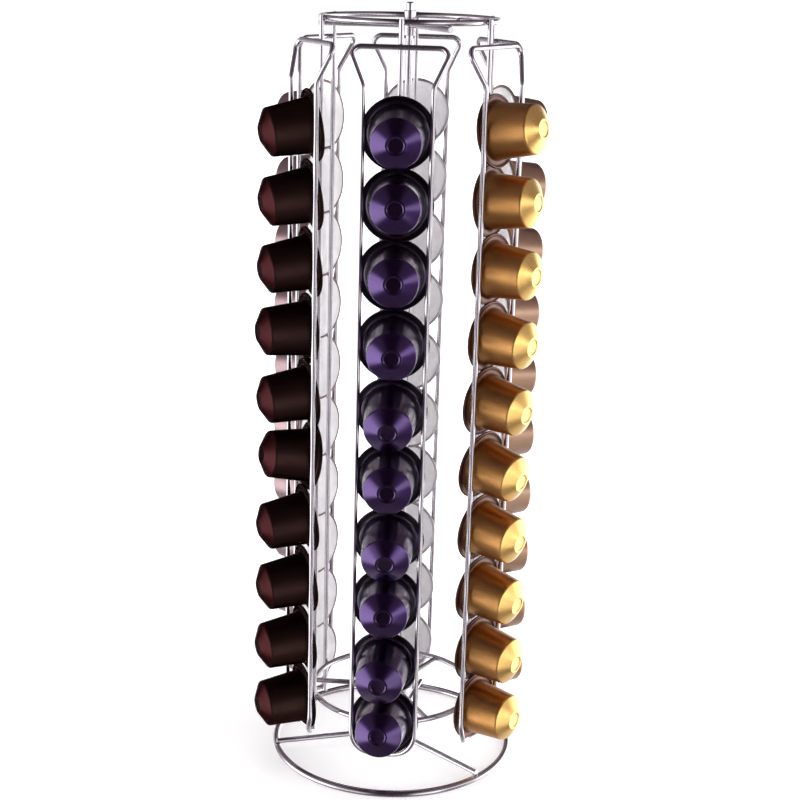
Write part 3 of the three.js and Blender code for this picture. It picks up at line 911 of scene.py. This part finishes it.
def makeFloor():
    half = studio["floorHalf"]
    corners = [(-half, -half, 0), (half, -half, 0), (half, half, 0), (-half, half, 0)]
    mesh = bpy.data.meshes.new("floor")
    mesh.from_pydata(corners, [], [(0, 1, 2, 3)])
    mesh.materials.append(floorMaterial())
    floor = linkObject(bpy.data.objects.new("floor", mesh))
    floor.visible_glossy = False


def levelsAround(tree, share, column):
    # The brightness of the softboxes by compass direction
    ramp = tree.nodes.new("ShaderNodeValToRGB")
    stops = ramp.color_ramp.elements
    while len(stops) < len(around):
        stops.new(0.5)
    for stop, entry in zip(stops, around):
        stop.position = entry[0] / 360 + 0.5
    for stop, entry in zip(stops, around):
        value = entry[column] / studio["brightest"]
        stop.color = (value, value, value, 1)
    tree.links.new(share, ramp.inputs["Fac"])
    return mathNode(tree, "MULTIPLY", ramp.outputs["Color"], studio["brightest"])


def between(tree, share, first, second):
    return mathNode(tree, "MULTIPLY_ADD", share, mathNode(tree, "SUBTRACT", second, first), first)


def makeWorld():
    world = bpy.data.worlds.new("studio")
    bpy.context.scene.world = world
    world.use_nodes = True
    world.cycles.sampling_method = "NONE"
    tree = world.node_tree
    tree.nodes.clear()
    output = tree.nodes.new("ShaderNodeOutputWorld")
    path = tree.nodes.new("ShaderNodeLightPath")
    place = tree.nodes.new("ShaderNodeTexCoord")
    split = tree.nodes.new("ShaderNodeSeparateXYZ")
    tree.links.new(place.outputs["Generated"], split.inputs["Vector"])
    east, north, up = (split.outputs[axis] for axis in "XYZ")
    angle = mathNode(tree, "ARCTAN2", east, mathNode(tree, "MULTIPLY", north, -1))
    share = mathNode(tree, "MULTIPLY_ADD", angle, 1 / (2 * pi), 0.5)
    eye = remap(tree, up, *studio["eyeLevel"], 0, 1, True)
    side = between(tree, eye, levelsAround(tree, share, 1), levelsAround(tree, share, 2))
    ceiling = remap(tree, mathNode(tree, "ABSOLUTE", east), *studio["ceilingSide"], *studio["ceiling"], True)
    sky = between(tree, remap(tree, up, *studio["ceilingFrom"], 0, 1, True), side, ceiling)
    under = remap(tree, north, *studio["underSide"], *studio["under"], True)
    sky = between(tree, remap(tree, up, *studio["underFrom"], 1, 0, True), sky, under)
    soft = mathNode(tree, "MULTIPLY_ADD", path.outputs["Is Diffuse Ray"], studio["softer"], 1)
    seen = mathNode(tree, "MAXIMUM", path.outputs["Is Camera Ray"], path.outputs["Is Transmission Ray"])
    level = mathNode(tree, "MAXIMUM", mathNode(tree, "MULTIPLY", sky, soft), seen)
    tint = remap(tree, level, 0.0, studio["duskBelow"], 0, 1)
    back = tree.nodes.new("ShaderNodeBackground")
    tree.links.new(mixColor(tree, tint, studio["dusk"], (1.0, 1.0, 1.0)), back.inputs["Color"])
    tree.links.new(level, back.inputs["Strength"])
    tree.links.new(back.outputs["Background"], output.inputs["Surface"])


# Two lamps for the lids and the floor. Reflections don't show them.
lamps = {
    "topBox": {"at": (0.15, 0.25, 1.40), "size": (1.4, 1.1), "power": 6, "color": (1, 1, 1)},
    "sideBox": {"at": (1.20, -1.00, 0.60), "size": (1.0, 1.0), "power": 9, "color": (1, 1, 1)},
}
lampAim = (0, 0, 0.2)


def makeLight(name, entry):
    light = bpy.data.lights.new(name, "AREA")
    light.shape = "RECTANGLE"
    light.size, light.size_y = entry["size"]
    light.energy = entry["power"]
    light.color = entry["color"]
    obj = linkObject(bpy.data.objects.new(name, light))
    obj.location = entry["at"]
    aim = Vector(lampAim) - Vector(entry["at"])
    obj.rotation_euler = aim.to_track_quat("-Z", "Y").to_euler()
    obj.visible_camera = False
    obj.visible_glossy = False


makeFloor()
makeWorld()
for name, entry in lamps.items():
    makeLight(name, entry)

# Where the photograph was taken, slightly right of the violet column: millimetres and degrees
cameraSpot = {"at": (66.9, -830.2, 439.5), "heading": -4.605, "down": 15.873, "roll": 1.506,
              "lens": 71.98, "sensor": 36, "farthestMetres": 50}


def makeCamera():
    camera = bpy.data.cameras.new("camera")
    camera.lens = cameraSpot["lens"]
    camera.sensor_width = cameraSpot["sensor"]
    camera.clip_end = cameraSpot["farthestMetres"]
    obj = linkObject(bpy.data.objects.new("camera", camera))
    heading, down, roll = (math.radians(cameraSpot[key]) for key in ("heading", "down", "roll"))
    flat = math.cos(down)
    forward = Vector((math.sin(heading) * flat, math.cos(heading) * flat, -math.sin(down)))
    right = Vector((math.cos(heading), -math.sin(heading), 0))
    up = right.cross(forward)
    rolledRight = right * math.cos(roll) + up * math.sin(roll)
    rolledUp = up * math.cos(roll) - right * math.sin(roll)
    turn = Matrix((rolledRight, rolledUp, -forward)).transposed()
    obj.matrix_world = Matrix.Translation(Vector(cameraSpot["at"]) * mm) @ turn.to_4x4()
    bpy.context.scene.camera = obj


makeCamera()
bpy.context.scene.view_settings.view_transform = "Standard"
print("studio ready")
